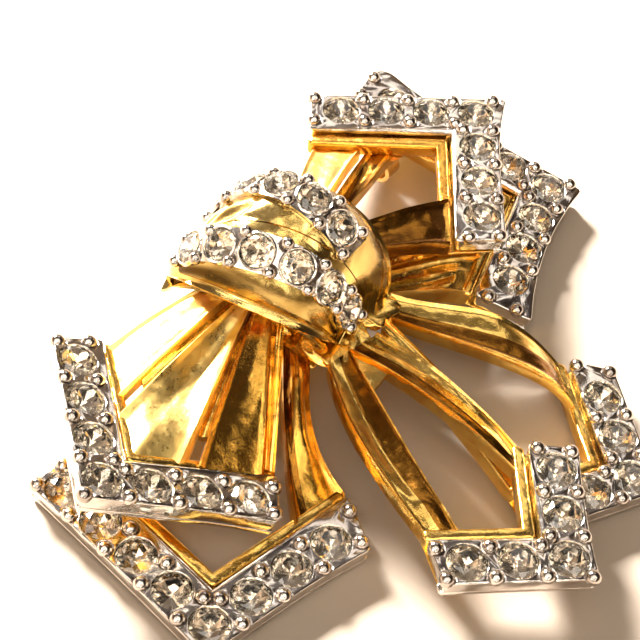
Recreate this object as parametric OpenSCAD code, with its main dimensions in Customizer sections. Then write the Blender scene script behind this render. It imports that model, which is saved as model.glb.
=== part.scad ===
// Bow brooch of cast, gold plated metal with paved stone settings.
// X runs along the bow, +Y is the top of the bow and the tails point to -Y.
// +Z is the front. The brooch lies on its back on z = 0.

/* [Stones] */
// Diameter of a stone across its girdle
stone_d = 2.6; // [2.2:0.1:2.8]
// Height of the crown above the girdle
crown_h = 0.42; // [0.3:0.02:0.6]
// Depth of the pointed back below the girdle
pavilion_h = 0.8; // [0.7:0.05:0.85]
// Diameter of the flat table
table_d = 1.5; // [1.2:0.1:1.8]
// Height of the plain edge of the girdle
girdle_h = 0.12; // [0.08:0.01:0.16]
// Distance between stone centres along a setting
pitch = 3.3; // [3.2:0.1:3.6]
// Play between a stone and its seat
seat_play = 0.1; // [0.06:0.01:0.15]

/* [Settings] */
// Distance from the stones' middle to the outer edge of a setting
band_out = 1.55; // [1.5:0.05:1.9]
// Distance from the stones' middle to the inner edge of a setting
band_in = 2; // [1.7:0.05:2.3]
// Thickness of the slab that holds the stones
slab_t = 1.25; // [1.25:0.05:1.5]
// Metal beyond the last stone's centre at the end of an arm
arm_end = 1.75; // [1.7:0.05:2.3]
// Diameter of the small round prong beads
bead_d = 0.9; // [0.7:0.05:1]
// Distance from the band's middle to the beads at its outer edge
bead_out = 1.15; // [1.1:0.05:1.4]
// Distance from the band's middle to the beads at its inner edge
bead_in = 1.05; // [1:0.05:1.3]
// Depth of the girdle's top below the face of the slab
girdle_sink = 0.1; // [0.05:0.01:0.15]

/* [Gold work] */
// Thickness of the gold tray under a setting
tray_t = 0.4; // [0.3:0.05:0.6]
// Width of the gold lip inside a setting's angle
lip_w = 0.9; // [0.7:0.1:1.2]
// Step from the face of a setting down to its gold lip
lip_drop = 0.4; // [0.3:0.05:0.7]
// Thickness of a pleat
pleat_t = 1; // [0.8:0.1:1.2]
// Clearance between neighbouring pieces
gap = 0.1; // [0.06:0.01:0.15]

/* [Knot] */
// Middle of the knot above the middle of the brooch
knot_y = 10.4; // [10.1:0.1:10.7]
// Half length of the knot from its middle to either end
knot_half_l = 5.9; // [5.7:0.1:6.3]
// Half width of the knot's left and right bands at its middle
knot_half_w = [5.6, 5]; // [4.8:0.1:6]
// Height of the knot's ends above the table
knot_end_z = 4.35; // [4.3:0.05:4.8]
// Height of the crest of the knot's left and right bands above the table
knot_top_z = [12.2, 12.9]; // [11.8:0.1:13.4]
// Sideways lean of the knot from its middle to either end
knot_lean = 1.6; // [1.2:0.1:1.8]
// Thickness of a knot band
wrap_t = 0.9; // [0.7:0.1:1.1]
// Width of a paved strip on the knot
strip_w = 2.7; // [2.6:0.1:2.8]
// Thickness of a paved strip
strip_t = 1.3; // [1.25:0.05:1.4]
// Diameter of the smaller stones on the knot
knot_stone_d = 2.2; // [2:0.1:2.3]
// Height of a paved strip above its band
strip_rise = 0.35; // [0.25:0.05:0.5]

/* [Pin] */
// Distance from an upper loop's corner stone in to the hinge or catch post
pin_inset = 5.2; // [4.8:0.1:6]
// Height of the pin above the middle of the brooch
pin_y = 10.9; // [10.4:0.1:11.1]
// Diameter of the pin's stem
stem_d = 0.9; // [0.7:0.1:1.2]
// Height of the stem's centre above the table
stem_z = 1.2; // [1.1:0.1:1.5]
// Width of the hinge and catch posts
post_w = 1.3; // [1.1:0.1:1.6]

/* [Hidden] */
// Columns of a setting: corner stone's place, heading and rise of each arm, the
// number of stones beyond the corner on each arm, how much narrower its inside
// is, how far its outer edge swings out at the end of arm 1, at the corner from
// either arm and at the end of arm 2, and how far each arm's end reaches beyond
// the usual one at its outer and inner edge
CORNER = 0;
ARM1 = 1;
ARM2 = 2;
COUNT = 3;
NARROW = 4;
FLARE = 5;
ENDS = 6;
upper_l = [
    [21.1, 8.8, 6.45], [132, -5], [226, -18], [3, 3],
    0, [0, 0, 0, 0.2], [[0, 0.4], [0, 0.6]]
];
upper_r = [
    [21.3, 8.2, 6.25], [127, -3], [215, -1], [3, 3],
    0, [0, 0, 0.8, 0.1], [[0.5, 0.7], [0.3, 0.7]]
];
lower_l = [
    [22.6, -1, 1.65], [99, 0], [194, 0], [4, 3],
    0, [0, 0.2, 0, 0.4], [[0, 0], [0, 1.5]]
];
lower_r = [
    [22.6, 1.6, 1.95], [98, 7], [195, 0], [4, 3],
    0, [0, 0, 0.9, 0.9], [[0, 0], [1, 0.9]]
];
tail_l = [
    [6.1, -16.4, 4.45], [48, 1], [142, 1], [2, 2],
    0.3, [0, 0, 0.3, 0.2], [[0, 0.6], [0, 0.3]]
];
tail_r = [
    [4, -16.2, 1.75], [48, 1], [151, 2], [2, 2],
    0.5, [0, 0, 0, 0], [[0, 0.6], [0, 0]]
];

// Columns of a pleat: tip from and to, as shares of the arms from -1 at the end
// of arm 1 over 0 at the angle to 1 at the end of arm 2, root from and to as
// shares of the root line, crown across, arch along, fall of the tip and the
// sideways bow of its middle
TIP = 0;
ROOT = 1;
CROWN = 2;
ARCH = 3;
FALL = 4;
BOW = 5;
upper_pleats_l = [
    [[-0.98, -0.5], [0, 0.32], 0.5, 0.3, 0.2, [0, 0]],
    [[-0.4, 0.37], [0.4, 0.56], -0.4, 0.4, 0.5, [0, 0]],
    [[0.45, 0.92], [0.58, 0.84], 0.1, 0.3, 0.3, [0, 0]],
    [[0.95, 1], [0.88, 1], 0.1, 0.3, 0.5, [0, 0]]
];
upper_pleats_r = [
    [[-0.96, -0.58], [0, 0.38], 0.4, 0.6, 0.2, [0, 0]],
    [[-0.56, -0.43], [0.41, 0.56], -0.2, 0.2, 0.6, [0, 0]],
    [[0.56, 1], [0.6, 1], 0.1, 0.4, 0.3, [0, 0]]
];
lower_pleats_l = [
    [[-0.98, -0.92], [0, 0.1], 0.2, 0.2, 0.15, [0, 0]],
    [[0.66, 1], [0.8, 1], 0.5, 0.5, 0.2, [0, 0]]
];
lower_pleats_r = [
    [[-0.98, -0.88], [0, 0.2], 0.2, 0.2, 0.4, [0, 0]],
    [[0.3, 0.5], [0.5, 0.7], 0.2, 0.2, 0.4, [0, 0]],
    [[0.66, 1], [0.75, 1], 0.4, 0.3, 0.3, [0, 0]]
];
tail_pleats_l = [
    [[-0.97, -0.62], [0, 0.45], 0.5, 0.6, 0.3, [-0.3, 0]],
    [[0.5, 1], [0.42, 1], 0.6, 1, 0.3, [0, 0]]
];
tail_pleats_r = [
    [[-0.97, -0.4], [0, 0.6], 0.5, 1.6, 0.3, [0.6, 0.5]],
    [[0.55, 1], [0.65, 1], 0.3, 0.2, 0.3, [0, 0]]
];
// Root lines under the knot, from their top to their bottom end
upper_root = [[4.4, 13.1, 6.6], [4, 7.4, 6.2]];
lower_root = [[3.7, 12.1, 3.35], [3.2, 5.5, 3.35]];
tail_root_l = [[3.4, 4, 4.25], [-1, 2.9, 4.25]];
tail_root_r = [[4.6, 4.2, 4.05], [1.4, 2.9, 4.05]];
// Blocks under the knot where the pleats gather, from corner to corner
upper_gather = [[gap / 2, 7.1, 3.45], [4.9, 13.4, 5.95]];
upper_ledge = [[gap / 2, 12.9, 3.45], [2.7, 15.9, knot_end_z - gap]];
lower_gather = [[gap / 2, 5.1, 2.05], [4.4, 12.5, 3.25]];
tail_gather_l = [[-1.1, 2.9, 3.55], [3.4, 6.9, knot_end_z - gap]];
tail_gather_r = [[1.2, 2.9, 3.55], [4.6, 6.9, knot_end_z - gap]];
// Steps along and across a pleat
pleat_steps = 8;
pleat_cross = 4;

// Columns of a knot band, as shares from -1 to 1 across and along the knot: its
// left and right edge, the middle of its paved strip, how far these two turn
// with the length, and the place of each stone along the strip
EDGE = 0;
MIDDLE = 1;
SKEW = 2;
STONES = 3;
wrap_l = [[-0.88, -0.205], -0.42, -0.2, [-0.81, -0.55, -0.28, 0, 0.27, 0.54]];
wrap_r = [[-0.193, 0.72], 0.2, 0.15, [-0.35, -0.09, 0.17, 0.43, 0.69]];
edge_skew = -0.19;
strip_end = 0.16;
wrap_steps = 14;
// Share of the knot's surface over which its slope is taken
small = 0.02;
end_steps = 3;
rim_h = 0.22;
rim_share = 0.1;
border_share = 0.02;
groove_side = 0.01;
// Shape of the knot: width of its ends, roundness along and across
knot_taper = 0.57;
round_along = 0.9;
round_across = 0.55;
// Share of the knot's width over which one band's crest rises to the other's
crest_step = 0.2;

stone_r = stone_d / 2;
bead_r = bead_d / 2;
build_t = slab_t + tray_t;
pin_reach = upper_l[CORNER][0] - pin_inset;

function mix(a, b, t) = a + (b - a) * t;
function unit(v) = v / norm(v);
function turn(a, p) = [p[0] * cos(a) - p[1] * sin(a), p[0] * sin(a) + p[1] * cos(a)];
function backward(list) = [for (i = [len(list) - 1:-1:0]) list[i]];

// The frame of a setting's face: x along arm 1, z out of the face
function along(arm) = [
    cos(arm[0]) * cos(arm[1]), sin(arm[0]) * cos(arm[1]), sin(arm[1])
];
function face_z(s) = unit(cross(along(s[ARM1]), along(s[ARM2])));
function face_y(s) = cross(face_z(s), along(s[ARM1]));
function arm_angle(s) = acos(along(s[ARM1]) * along(s[ARM2]));
function place(s, p) =
    s[CORNER] + along(s[ARM1]) * p[0] + face_y(s) * p[1] + face_z(s) * p[2];
// Height of a setting's face over a point of the table
function face_height(s, x, y) = let (n = face_z(s), c = s[CORNER])
    c[2] - (n[0] * (x - c[0]) + n[1] * (y - c[1])) / n[2];

// Length of an arm at a distance off towards the inside of the angle
function arm_length(s, arm, off) =
    s[COUNT][arm] * pitch + arm_end
    + mix(s[ENDS][arm][0], s[ENDS][arm][1], (off + band_out) / (band_out + band_in));
// A line along both arms, off towards the inside of their angle
function angle_line(s, off) = let (a = arm_angle(s)) [
    [arm_length(s, 0, off), off],
    [off / tan(a / 2), off],
    turn(a, [arm_length(s, 1, off), -off])
];
// The outer edge, which swings out at the ends and at the corner
function outer_line(s) = let (
    a = arm_angle(s), f = s[FLARE], o1 = -band_out - f[1], o2 = -band_out - f[2],
    l1 = arm_length(s, 0, -band_out), l2 = arm_length(s, 1, -band_out)
) [
    [l1, -band_out - f[0]],
    [l1 / 2, -band_out],
    [(o2 + o1 * cos(a)) / sin(a), o1],
    turn(a, [l2 / 2, band_out]),
    turn(a, [l2, band_out + f[3]])
];
function inside(s) = band_in - s[NARROW];
function lip_line(s, share) = angle_line(s, inside(s) + gap + share * lip_w);

function stone_places(s) = let (a = arm_angle(s)) concat(
    [for (i = [s[COUNT][0]:-1:0]) [i * pitch, 0]],
    [for (i = [1:s[COUNT][1]]) turn(a, [i * pitch, 0])]
);
// Beads between the stones and at the end of one arm, whose inside is at +y
function arm_beads(s, arm) = concat(
    [for (i = [0:s[COUNT][arm] - 1], y = [-bead_out, bead_in]) [(i + 0.5) * pitch, y]],
    [for (y = [-bead_out, bead_in]) [arm_length(s, arm, y) - bead_r + gap, y]]
);
function bead_places(s) = let (a = arm_angle(s)) concat(
    arm_beads(s, 0),
    [for (p = arm_beads(s, 1)) turn(a, [p[0], -p[1]])],
    [turn(a / 2, [-stone_r - bead_r - seat_play, 0])]
);

module on_face(s) {
    x = along(s[ARM1]);
    y = face_y(s);
    z = face_z(s);
    c = s[CORNER];
    multmatrix([
        [x[0], y[0], z[0], c[0]],
        [x[1], y[1], z[1], c[1]],
        [x[2], y[2], z[2], c[2]],
        [0, 0, 0, 1]
    ]) children();
}

// A round brilliant with an eight sided table and a sixteen sided girdle
module stone(d) {
    k = d / stone_d;
    ring = function (n, r, z) [for (i = [0:n - 1]) [r * cos(360 * i / n), r * sin(360 * i / n), z]];
    points = concat(
        ring(8, k * table_d / 2, k * crown_h), ring(16, d / 2, 0), ring(16, d / 2, -girdle_h),
        [[0, 0, -girdle_h - k * pavilion_h]]
    );
    up = function (i) 8 + (i + 16) % 16;
    low = function (i) 24 + (i + 16) % 16;
    faces = concat(
        [[for (i = [7:-1:0]) i]],
        [for (i = [0:7]) [i, up(2 * i), up(2 * i - 1)]],
        [for (i = [0:7]) [i, up(2 * i + 1), up(2 * i)]],
        [for (i = [0:7]) [i, (i + 1) % 8, up(2 * i + 1)]],
        [for (i = [0:15]) [up(i), up(i + 1), low(i + 1), low(i)]],
        [for (i = [0:15]) [low(i), low(i + 1), 40]]
    );
    polyhedron(points, faces);
}

// The hollow that a stone sits in, open at the face
module seat(d) {
    r = d / 2 + seat_play;
    depth = pavilion_h * d / stone_d;
    floor_z = girdle_h + seat_play;
    translate([0, 0, -floor_z]) cylinder(h = floor_z + girdle_sink + crown_h, r = r, $fn = 48);
    translate([0, 0, -floor_z - depth]) cylinder(h = depth, r1 = seat_play, r2 = r, $fn = 48);
}

module setting(s) {
    color("silver") on_face(s) {
        difference() {
            translate([0, 0, -slab_t]) linear_extrude(slab_t)
                polygon(concat(outer_line(s), backward(angle_line(s, inside(s)))));
            for (p = stone_places(s)) translate([p[0], p[1], -girdle_sink]) seat(stone_d);
        }
        for (p = bead_places(s)) translate([p[0], p[1], -bead_r / 4]) sphere(d = bead_d, $fn = 24);
    }
}

module setting_stone(s, i) {
    p = stone_places(s)[i - 1];
    color("white") on_face(s) translate([p[0], p[1], -girdle_sink]) stone(stone_d);
}

// Gold tray under a setting with the lip that stands inside its angle
module tray(s) {
    on_face(s) translate([0, 0, -build_t]) {
        linear_extrude(tray_t - gap) polygon(concat(outer_line(s), backward(lip_line(s, 1))));
        linear_extrude(build_t - lip_drop) polygon(concat(lip_line(s, 0), backward(lip_line(s, 1))));
    }
}

// A closed body between two grids of points of the same size
module grid_body(top, bottom) {
    rows = len(top);
    cols = len(top[0]);
    all = concat([for (r = top) each r], [for (r = bottom) each r]);
    t = function (i, j) i * cols + j;
    b = function (i, j) rows * cols + i * cols + j;
    quads = concat(
        [for (i = [0:rows - 2], j = [0:cols - 2]) [t(i, j), t(i + 1, j), t(i + 1, j + 1), t(i, j + 1)]],
        [for (i = [0:rows - 2], j = [0:cols - 2]) [b(i, j), b(i, j + 1), b(i + 1, j + 1), b(i + 1, j)]],
        [for (i = [0:rows - 2]) [t(i, 0), b(i, 0), b(i + 1, 0), t(i + 1, 0)]],
        [for (i = [0:rows - 2]) [t(i, cols - 1), t(i + 1, cols - 1), b(i + 1, cols - 1), b(i, cols - 1)]],
        [for (j = [0:cols - 2]) [t(0, j), t(0, j + 1), b(0, j + 1), b(0, j)]],
        [for (j = [0:cols - 2]) [t(rows - 1, j), b(rows - 1, j), b(rows - 1, j + 1), t(rows - 1, j + 1)]]
    );
    polyhedron(all, [for (q = quads, k = [0, 1]) k == 0 ? [q[0], q[1], q[2]] : [q[0], q[2], q[3]]]);
}

function tip_point(s, share, depth) = let (
    line = lip_line(s, 0.5),
    p = share < 0 ? mix(line[1], line[0], -share) : mix(line[1], line[2], share)
) place(s, [p[0], p[1], -depth]);

function pleat_point(s, root, row, u, w) =
    mix(
        mix(root[0], root[1], mix(row[ROOT][0], row[ROOT][1], w)),
        tip_point(s, mix(row[TIP][0], row[TIP][1], w), lip_drop + row[FALL]),
        u
    )
    + [0, 0, row[CROWN] * 4 * w * (1 - w) * sin(180 * u)]
    + concat(row[BOW], row[ARCH]) * 4 * u * (1 - u);

module pleat(s, root, row) {
    top = [for (i = [0:pleat_steps]) [for (j = [0:pleat_cross])
        pleat_point(s, root, row, i / pleat_steps, j / pleat_cross)]];
    bottom = [for (line = top) [for (p = line) p - [0, 0, pleat_t]]];
    grid_body(top, bottom);
}

module block(ends) translate(ends[0]) cube(ends[1] - ends[0]);

module upper_loop(s, pleats) {
    color("gold") {
        tray(s);
        for (row = pleats) pleat(s, upper_root, row);
        block(upper_gather);
        block(upper_ledge);
    }
}

module lower_loop(s, pleats) {
    color("gold") {
        tray(s);
        for (row = pleats) pleat(s, lower_root, row);
        block(lower_gather);
    }
}

module tail(s, root, pleats, gather) {
    color("gold") {
        tray(s);
        for (row = pleats) pleat(s, root, row);
        block(gather);
    }
}

// Point of the knot's domed surface: u across from -1 to 1, v from the bottom
// end at -1 to the top end at 1
function knot_base(u, v) = let (
    a = 90 * v,
    c = max(cos(a), 0),
    w = u < 0 ? knot_half_w[0] : knot_half_w[1],
    top = mix(knot_top_z[0], knot_top_z[1], min(max((u + crest_step) / crest_step / 2, 0), 1))
) [
    -knot_lean * v + w * sin(90 * u) * mix(knot_taper, 1, c),
    knot_y + knot_half_l * sin(a),
    mix(knot_end_z, top, pow(c, round_along) * pow(cos(90 * u), round_across))
];
function knot_normal(u, v) = let (
    e = small,
    du = knot_base(u + e, v) - knot_base(u - e, v),
    dv = knot_base(u, min(v + e, 1)) - knot_base(u, max(v - e, -1))
) unit(cross(du, dv));
function knot_point(u, v, h) = knot_base(u, v) + knot_normal(u, v) * h;
function strip_half(row) = strip_w / 2 / (knot_half_w[row[MIDDLE] < 0 ? 0 : 1] * PI / 2);
function strip_mid(row, v) = row[MIDDLE] + row[SKEW] * v;
function strip_from(row) = row[STONES][0] - strip_end;
function strip_to(row) = row[STONES][len(row[STONES]) - 1] + strip_end;

// Across a band: place, height of its top and height of its underside
function wrap_profile(row, v, groove) = let (
    half = strip_half(row) + gap / knot_half_w[0],
    outer = row == wrap_l,
    left = row[EDGE][0] + (outer ? 0 : edge_skew * v),
    right = row[EDGE][1] + (outer ? edge_skew * v : 0),
    left_rim = left + (outer ? rim_share : border_share),
    right_rim = right - (outer ? border_share : rim_share),
    at_strip = strip_mid(row, min(max(v, strip_from(row)), strip_to(row))),
    room = half + 2 * groove_side,
    mid = min(max(at_strip, left_rim + room), right_rim - room),
    top = groove ? strip_rise - strip_t - gap : 0,
    under = groove ? top - wrap_t / 2 : -wrap_t
) [
    [left, outer ? rim_h : 0, -wrap_t],
    [mix(left, left_rim, 0.5), outer ? rim_h : 0, -wrap_t],
    [left_rim, 0, -wrap_t],
    [mid - half - groove_side, 0, under],
    [mid - half, top, under],
    [mid + half, top, under],
    [mid + half + groove_side, 0, under],
    [right_rim, 0, -wrap_t],
    [right, rim_h, -wrap_t]
];
// Rows of a band along the knot: place and whether the groove runs there
function wrap_rows(row) = let (from = strip_from(row) - small / 2, to = strip_to(row) + small / 2) concat(
    [for (i = [0:end_steps]) [mix(-1, from - groove_side, i / end_steps), false]],
    [for (i = [0:wrap_steps]) [mix(from, to, i / wrap_steps), true]],
    [for (i = [0:end_steps]) [mix(to + groove_side, 1, i / end_steps), false]]
);

module wrap(row) {
    grid = function (side) [for (r = wrap_rows(row)) [for (p = wrap_profile(row, r[0], r[1]))
        knot_point(p[0], r[0], p[side])]];
    color("gold") grid_body(grid(1), grid(2));
}

module on_knot(row, v) {
    u = strip_mid(row, v);
    z = knot_normal(u, v);
    x = unit(cross([0, 1, 0], z));
    y = cross(z, x);
    c = knot_point(u, v, strip_rise - girdle_sink);
    multmatrix([
        [x[0], y[0], z[0], c[0]],
        [x[1], y[1], z[1], c[1]],
        [x[2], y[2], z[2], c[2]],
        [0, 0, 0, 1]
    ]) children();
}

module strip(row) {
    half = strip_half(row);
    at = function (i, side, h) let (v = mix(strip_from(row), strip_to(row), i / wrap_steps))
        knot_point(strip_mid(row, v) + side * half, v, h);
    grid = function (h) [for (i = [0:wrap_steps]) [for (side = [-1, 0, 1]) at(i, side, h)]];
    color("silver") difference() {
        grid_body(grid(strip_rise), grid(strip_rise - strip_t));
        for (v = row[STONES]) on_knot(row, v) seat(knot_stone_d);
    }
}

module strip_stones(row) {
    color("white") for (v = row[STONES]) on_knot(row, v) stone(knot_stone_d);
}

// Plain pin with its hinge post, stem and catch post in one piece
module pin() {
    color("goldenrod") {
        for (side = [-1, 1]) {
            s = side < 0 ? upper_l : upper_r;
            top = min([for (dx = [-1, 1], dy = [-1, 1])
                face_height(s, pin_reach + dx * post_w / 2, pin_y + dy * post_w / 2)
            ]) - build_t / face_z(s)[2] - gap;
            translate([side * pin_reach - post_w / 2, pin_y - post_w / 2, 0]) cube([post_w, post_w, top]);
        }
        translate([-pin_reach, pin_y, stem_z]) rotate([0, 90, 0])
            cylinder(h = 2 * pin_reach, d = stem_d, $fn = 32);
    }
}

module left() mirror([1, 0, 0]) children();

left() upper_loop(upper_l, upper_pleats_l);  // upper_loop_left
upper_loop(upper_r, upper_pleats_r);  // upper_loop_right
left() lower_loop(lower_l, lower_pleats_l);  // lower_loop_left
lower_loop(lower_r, lower_pleats_r);  // lower_loop_right
left() tail(tail_l, tail_root_l, tail_pleats_l, tail_gather_l);  // tail_left
tail(tail_r, tail_root_r, tail_pleats_r, tail_gather_r);  // tail_right
wrap(wrap_l);  // knot_left_wrap
wrap(wrap_r);  // knot_right_wrap
left() setting(upper_l);  // upper_setting_left
setting(upper_r);  // upper_setting_right
left() setting(lower_l);  // lower_setting_left
setting(lower_r);  // lower_setting_right
left() setting(tail_l);  // tail_setting_left
setting(tail_r);  // tail_setting_right
strip(wrap_l);  // knot_left_strip
strip(wrap_r);  // knot_right_strip
strip_stones(wrap_l);  // knot_left_stones
strip_stones(wrap_r);  // knot_right_stones
pin();  // pin_back
for (i = [1:7]) left() setting_stone(upper_l, i);
for (i = [1:7]) setting_stone(upper_r, i);
for (i = [1:8]) left() setting_stone(lower_l, i);
for (i = [1:8]) setting_stone(lower_r, i);
for (i = [1:5]) left() setting_stone(tail_l, i);
for (i = [1:5]) setting_stone(tail_r, i);
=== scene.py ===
import math

import bmesh
import bpy
from mathutils import Matrix, Vector


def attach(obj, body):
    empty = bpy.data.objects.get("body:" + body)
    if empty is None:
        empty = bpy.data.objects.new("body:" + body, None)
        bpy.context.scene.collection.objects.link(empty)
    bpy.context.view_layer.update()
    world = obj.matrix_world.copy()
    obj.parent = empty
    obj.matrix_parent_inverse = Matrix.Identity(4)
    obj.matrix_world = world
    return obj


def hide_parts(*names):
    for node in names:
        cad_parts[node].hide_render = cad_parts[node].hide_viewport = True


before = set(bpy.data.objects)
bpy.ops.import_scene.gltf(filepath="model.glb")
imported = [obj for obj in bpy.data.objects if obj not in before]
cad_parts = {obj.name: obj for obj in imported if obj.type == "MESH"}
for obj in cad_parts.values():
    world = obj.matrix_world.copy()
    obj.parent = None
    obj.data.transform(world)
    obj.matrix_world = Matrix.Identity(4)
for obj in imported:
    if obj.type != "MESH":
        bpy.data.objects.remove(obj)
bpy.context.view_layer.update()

# Trays of the loops and tails. Each fold of the ribbon ends in an angle of two
# straight arms. The casting is gold plated: a thin tray under the paved part,
# and a lip inside the angle where the pleats are soldered on.
MM = 0.001
POLISHED, SATIN, DEEP_SHADE, DARK_SHADE = range(4)
PITCH, ARM_END = 3.3, 1.75
BAND_OUT, BAND_IN, GAP, LIP_W = 1.55, 2.0, 0.1, 0.9
SLAB_T, TRAY_T, TRAY_INSET, LIP_DROP = 1.25, 0.4, 0.75, 0.4
SWING_STEPS, END_ZONE, CORNER_ZONE, SHARP, NEAR = 6, 1.2, 0.5, 0.5, 0.01

# Each angle is drawn on the right, and side mirrors it. An arm has its turn and
# rise in degrees. Flare is how far the outer edge swings out at the first end,
# at the corner on either arm and at the second end. Ends are the extra lengths
# of each arm's outer and inner side, narrow is taken off the inside, and rounded
# is the radius of the first arm's far corner.
ANGLES = {
    "upper_left": dict(
        side=-1, corner=(21.1, 8.8, 6.45), arms=((132, -5), (226, -18)), stones=(3, 3),
        narrow=0, flare=(0, 0, 0, 0.2), ends=((0, 0.4), (0, 0.6))),
    "upper_right": dict(
        side=1, corner=(21.3, 8.2, 6.25), arms=((127, -3), (215, -1)), stones=(3, 3),
        narrow=0, flare=(0, 0, 0.8, 0.1), ends=((0.5, 0.7), (0.3, 0.7)), lip=DEEP_SHADE),
    "lower_left": dict(
        side=-1, corner=(22.6, -1, 1.65), arms=((99, 0), (194, 0)), stones=(4, 3),
        narrow=0, flare=(0, 0.2, 0, 0.4), ends=((0, 0), (0, 1.5))),
    "lower_right": dict(
        side=1, corner=(22.6, 1.6, 1.95), arms=((98, 7), (195, 0)), stones=(4, 3),
        narrow=0, flare=(1.3, 0, 0.9, 0.9), ends=((1, 1), (1, 0.9)), rounded=1.7),
    "tail_left": dict(
        side=-1, corner=(6.1, -16.4, 4.45), arms=((48, 1), (142, 1)), stones=(2, 2),
        narrow=0.3, flare=(0, 0, 0.3, 0.2), ends=((0, 0.6), (0, 0.3))),
    "tail_right": dict(
        side=1, corner=(4, -16.2, 1.75), arms=((48, 1), (151, 2)), stones=(2, 2),
        narrow=0.5, flare=(0, 0, 0, 0), ends=((0.4, 1.7), (0, 0))),
}


def mix(a, b, t):
    return a + (b - a) * t


def heading(turn, rise):
    """The direction of an arm."""
    t, r = math.radians(turn), math.radians(rise)
    return Vector((math.cos(t) * math.cos(r), math.sin(t) * math.cos(r), math.sin(r)))


def opening(angle):
    """The turn from the first arm to the second."""
    return heading(*angle["arms"][0]).angle(heading(*angle["arms"][1]))


def inside(angle):
    """How far the paved band reaches towards the inside of the angle."""
    return BAND_IN - angle["narrow"]


def on_face(angle):
    """Places what is drawn on an angle's face, x along its first arm."""
    x = heading(*angle["arms"][0])
    z = x.cross(heading(*angle["arms"][1])).normalized()
    place = Matrix((x, z.cross(x), z)).transposed().to_4x4()
    place.translation = Vector(angle["corner"])
    return Matrix.Diagonal((angle["side"], 1, 1, 1)) @ place


def arm_length(angle, arm, off):
    """An arm's length at a distance towards the inside, as its end is cut at a slant."""
    slant = (off + BAND_OUT) / (BAND_OUT + BAND_IN)
    outer, inner = angle["ends"][arm]
    return angle["stones"][arm] * PITCH + ARM_END + outer + (inner - outer) * slant


def angle_line(angle, off, cut=0.0):
    """A line along both arms, off towards the inside of their angle."""
    a = opening(angle)
    first, second = (arm_length(angle, arm, off) - cut for arm in (0, 1))
    end = Matrix.Rotation(a, 2) @ Vector((second, -off))
    return [Vector((first, off)), Vector((off / math.tan(a / 2), off)), end]


def outer_line(angle, inset=0.0, cut=0.0):
    """The outer edge, which swings out in shallow curves to the ends and the corner."""
    a = opening(angle)
    turn = Matrix.Rotation(a, 2)
    f = [inset - BAND_OUT - d for d in angle["flare"]]
    corner = Vector(((f[2] + f[1] * math.cos(a)) / math.sin(a), f[1]))
    line = []
    for arm, (at_end, at_corner) in enumerate(((f[0], f[1]), (f[3], f[2]))):
        length = arm_length(angle, arm, -BAND_OUT) - cut
        near = corner.x if arm == 0 else corner.dot(turn @ Vector((1, 0)))
        points = []
        for i in range(SWING_STEPS):
            t = i / SWING_STEPS
            x = mix(length, near, t)
            by_end, by_corner = max(0, 1 - 2 * t) ** 2, max(0, 2 * t - 1) ** 2
            y = at_end * by_end + at_corner * by_corner + (inset - BAND_OUT) * (1 - by_end - by_corner)
            points.append(Vector((x, y)) if arm == 0 else turn @ Vector((x, -y)))
        line += points + [corner] if arm == 0 else points[::-1]
    return line


def along_inside(angle, p, off):
    """Whether a point lies on the inner side of either arm."""
    second = Matrix.Rotation(-opening(angle), 2) @ Vector((p.x, p.y))
    return abs(p.y - off) < NEAR or abs(second.y + off) < NEAR


def soften(bm, edges, by, steps):
    """Rounds edges as a casting's are."""
    bmesh.ops.bevel(bm, geom=edges, offset=by, affect="EDGES", segments=steps, profile=0.5, material=-1)


def band_body(angle, inner, high, low, outer=None, inset=0, draft=0, corner=0.3, edge=0.08, inner_edge=0):
    """A body along both arms with drafted sides and rounded corners. It starts at a
    line inside the angle, or else at the outer edge drawn in by an inset."""
    bm = bmesh.new()
    rims = []
    for z, d in ((high, 0), (low, draft)):
        start = outer_line(angle, inset + d, d) if outer is None else angle_line(angle, outer + d, d)
        line = start + angle_line(angle, inner - d, d)[::-1]
        face = bm.faces.new([bm.verts.new((p.x, p.y, z)) for p in line])
        rims.append(face.edges[:])
    bmesh.ops.bridge_loops(bm, edges=rims[0] + rims[1])
    bmesh.ops.recalc_face_normals(bm, faces=bm.faces)

    def rise(e):
        return abs(e.verts[0].co.z - e.verts[1].co.z)

    inner_corner, end = angle_line(angle, inner)[1], outer_line(angle)[0]
    upright = [e for e in bm.edges if rise(e) > 0.5 * (high - low) and e.calc_face_angle(0) > SHARP
               and (e.verts[0].co.xy - inner_corner).length > draft + CORNER_ZONE]
    if "rounded" in angle:
        soften(bm, [e for e in upright if (e.verts[0].co.xy - end).length < END_ZONE], angle["rounded"], 8)
        upright = [e for e in upright if e.is_valid]
    soften(bm, upright, corner, 4)
    if inner_edge:
        top = [e for e in bm.edges if min(v.co.z for v in e.verts) > high - NEAR
               and all(along_inside(angle, v.co, inner) for v in e.verts)]
        soften(bm, top, inner_edge, 4)
    soften(bm, [e for e in bm.edges if rise(e) < NEAR and e.calc_face_angle(0) > SHARP], edge, 3)
    return bm


def add_to(bm, part, place=None):
    """Puts one bmesh's shape into another."""
    if place is not None:
        bmesh.ops.transform(part, matrix=place, verts=part.verts)
        if place.determinant() < 0:
            bmesh.ops.reverse_faces(part, faces=part.faces)
    mesh = bpy.data.meshes.new("part")
    part.to_mesh(mesh)
    part.free()
    bm.from_mesh(mesh)
    bpy.data.meshes.remove(mesh)


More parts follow.
